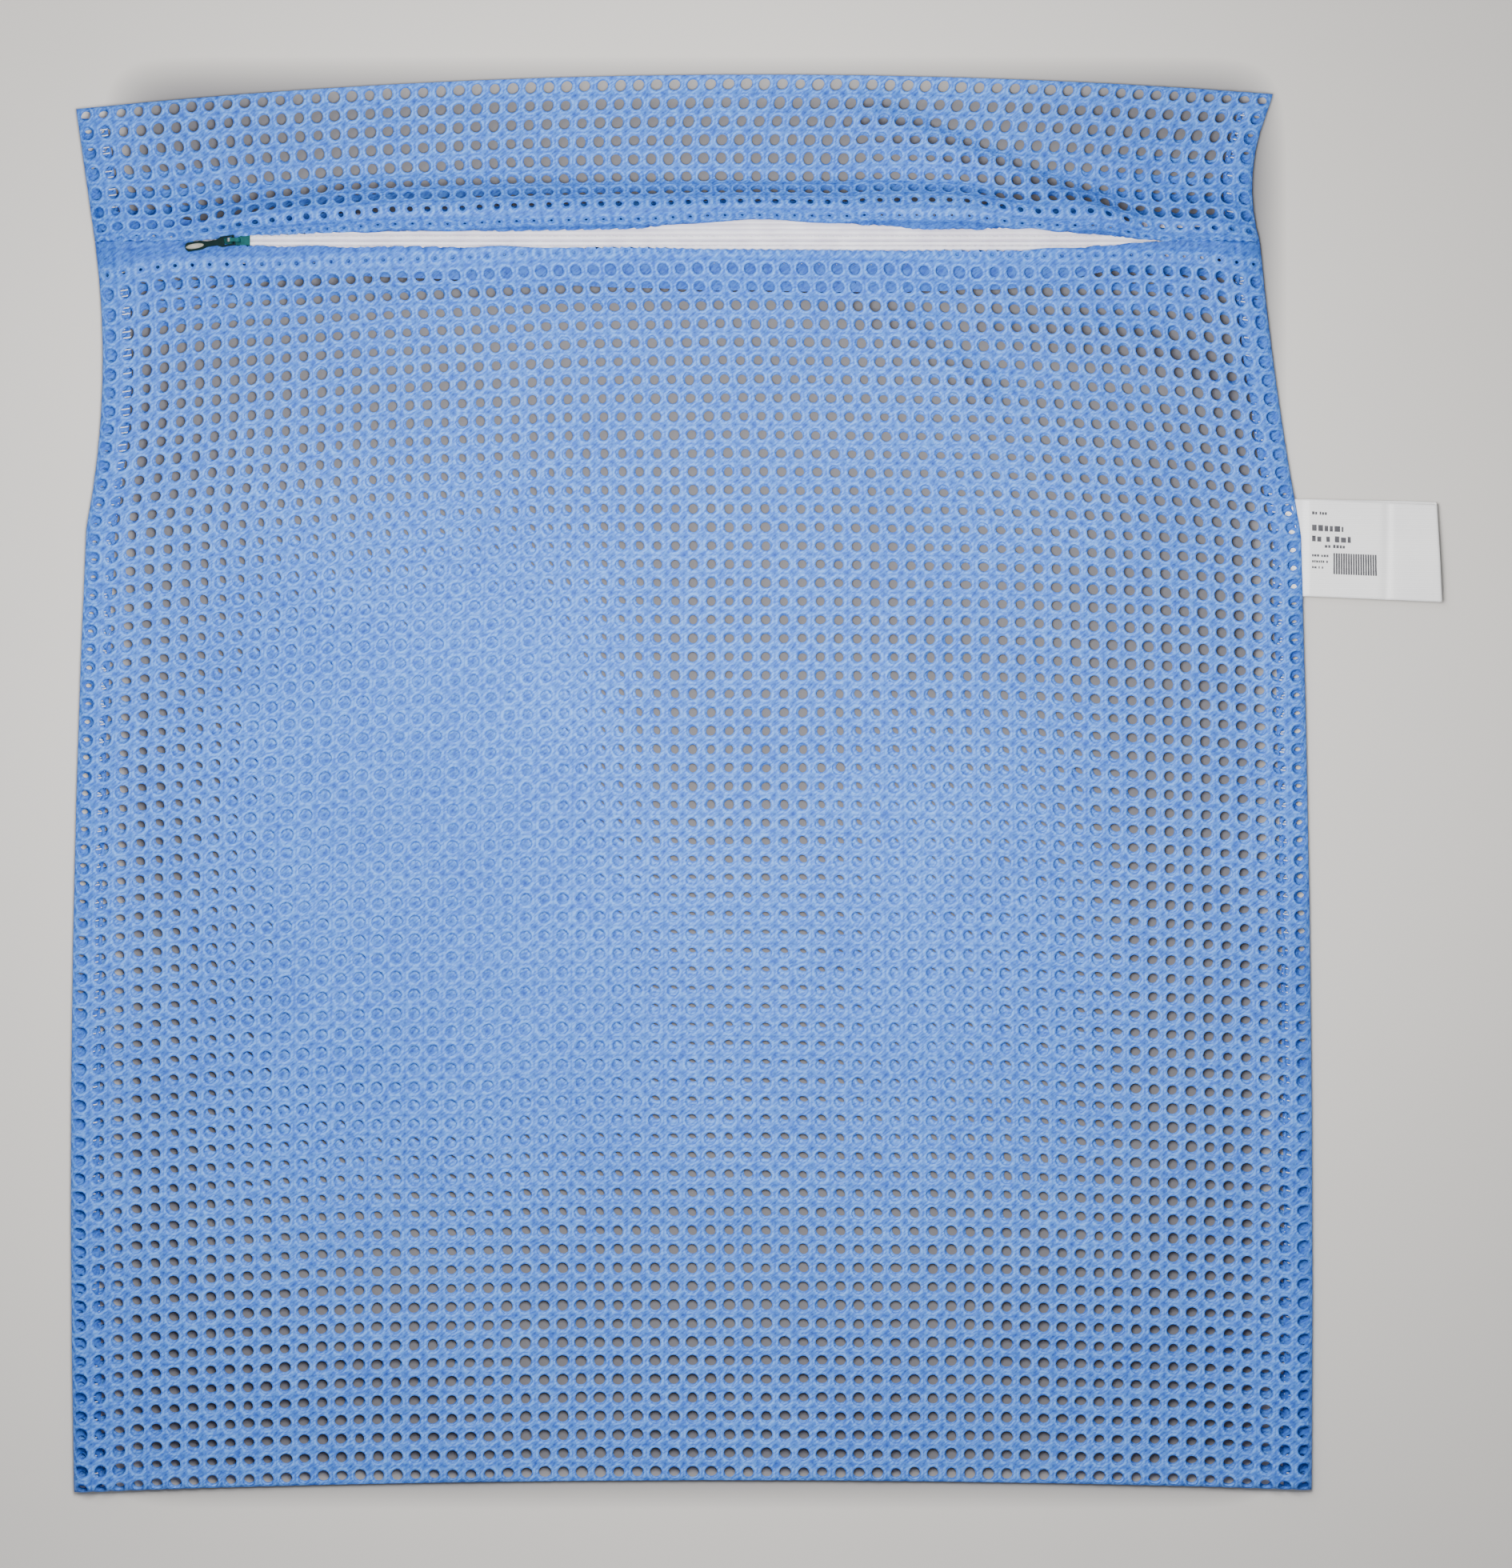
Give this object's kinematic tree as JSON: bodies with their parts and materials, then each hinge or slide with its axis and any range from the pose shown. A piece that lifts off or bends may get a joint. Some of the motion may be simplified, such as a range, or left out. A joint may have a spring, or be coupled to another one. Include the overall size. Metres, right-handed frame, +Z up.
{
  "type": "mesh laundry bag",
  "caption": "Flat mesh laundry bag of round-holed blue net with a white coil zip across one end, a small slider with a pull, and a folded ribbon care label in the side seam.",
  "frame": {"origin": "on the flat underside of the back cloth, near the middle of the bag", "axes": "+Z up, out of the bag's front; +Y from the bottom fold to the zip end; +X from the closed end of the zip to its open end"},
  "size_m": [0.4423, 0.4578, 0.0077],
  "materials": {
    "net": "knitted polyester net, slightly shiny",
    "white_thread": "spun polyester thread",
    "zip_tape": "woven polyester tape",
    "coil_nylon": "nylon monofilament",
    "slider_enamel": "enamelled zinc casting, bare at the wear points",
    "pull_metal": "enamel worn to bare metal at the tip",
    "label_ribbon": "satin ribbon"
  },
  "bodies": {
    "bag": {"front_net": "net", "back_net": "net", "top_net": "net", "top_fold": "net", "bottom_fold": "net", "left_seam_allowance": "net", "right_seam_allowance": "net", "left_seam_thread": "white_thread", "right_seam_thread": "white_thread", "upper_coil_stitching": "white_thread", "lower_coil_stitching": "white_thread", "upper_hem_stitching": "white_thread", "lower_hem_stitching": "white_thread", "left_bar_tack": "white_thread", "right_bar_tack": "white_thread", "upper_core_cord": "white_thread", "lower_core_cord": "white_thread", "zip_upper_tape": "zip_tape", "zip_lower_tape": "zip_tape", "zip_upper_coil": "coil_nylon", "zip_lower_coil": "coil_nylon", "zip_upper_top_stop": "coil_nylon", "zip_lower_top_stop": "coil_nylon", "zip_bottom_stop": "coil_nylon", "label_tail": "label_ribbon"},
    "slider": {"slider_body": "slider_enamel"},
    "pull": {"pull_tab": "pull_metal"},
    "label": {"care_label": "label_ribbon"}
  },
  "joints": [
    {"name": "slider_slide", "type": "slide", "parent": "bag", "child": "slider", "axis": [1, 0, 0], "range_m": [0, 0.274]},
    {"name": "pull_turn", "type": "hinge", "parent": "slider", "child": "pull", "pos_m": [-0.1477, 0.1746, 0.0064], "axis": [-0.1564, 0.9877, 0], "range_deg": [0, 165]},
    {"name": "label_turn", "type": "hinge", "parent": "bag", "child": "label", "pos_m": [0.199, 0.0758, 0.0019], "axis": [0, -1, 0], "range_deg": [0, 135]}
  ]
}
